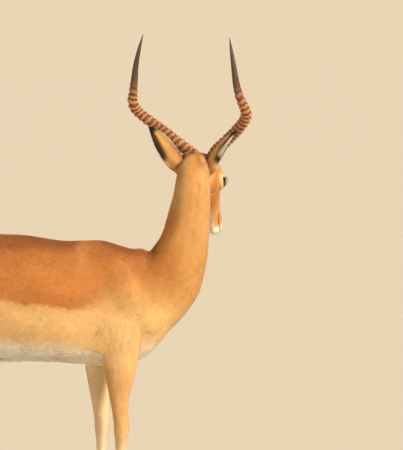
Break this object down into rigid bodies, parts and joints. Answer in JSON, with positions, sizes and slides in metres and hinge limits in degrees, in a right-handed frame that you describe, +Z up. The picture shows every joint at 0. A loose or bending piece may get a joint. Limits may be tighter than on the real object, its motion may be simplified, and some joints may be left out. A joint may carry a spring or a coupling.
{
  "type": "impala antelope",
  "caption": "Adult male impala standing still, neck raised and head turned away over its left side, with ringed lyre-shaped horns, cupped ears and a short two-tone coat.",
  "frame": {"origin": "on the floor under the middle of the model's box", "axes": "+Z up, +X from the tail towards the chest, +Y to the animal's left, the side that its head is turned to"},
  "size_m": [1.2578, 0.3794, 1.5945],
  "materials": {
    "coat": "short flat hair, rufous saddle over golden tan flanks and a white belly",
    "ear_coat": "very short hair, tan outside with black tips, white inside",
    "tail_coat": "longer soft white hair with a dark stripe down the outside",
    "horn": "ringed dark brown horn, smooth and slightly glossy towards the tips",
    "hoof": "black horn, slightly worn at the rim",
    "eye": "wet dark brown with a wide pupil"
  },
  "bodies": {
    "root": {"trunk": "coat", "neck": "coat", "head": "coat", "foreleg_left": "coat", "foreleg_right": "coat", "hindleg_left": "coat", "hindleg_right": "coat", "ear_left": "ear_coat", "ear_right": "ear_coat", "tail": "tail_coat", "horn_left": "horn", "horn_right": "horn", "eye_left": "eye", "eye_right": "eye", "hoof_foreleg_left_inner": "hoof", "hoof_foreleg_left_outer": "hoof", "hoof_foreleg_right_inner": "hoof", "hoof_foreleg_right_outer": "hoof", "hoof_hindleg_left_inner": "hoof", "hoof_hindleg_left_outer": "hoof", "hoof_hindleg_right_inner": "hoof", "hoof_hindleg_right_outer": "hoof"}
  },
  "joints": []
}
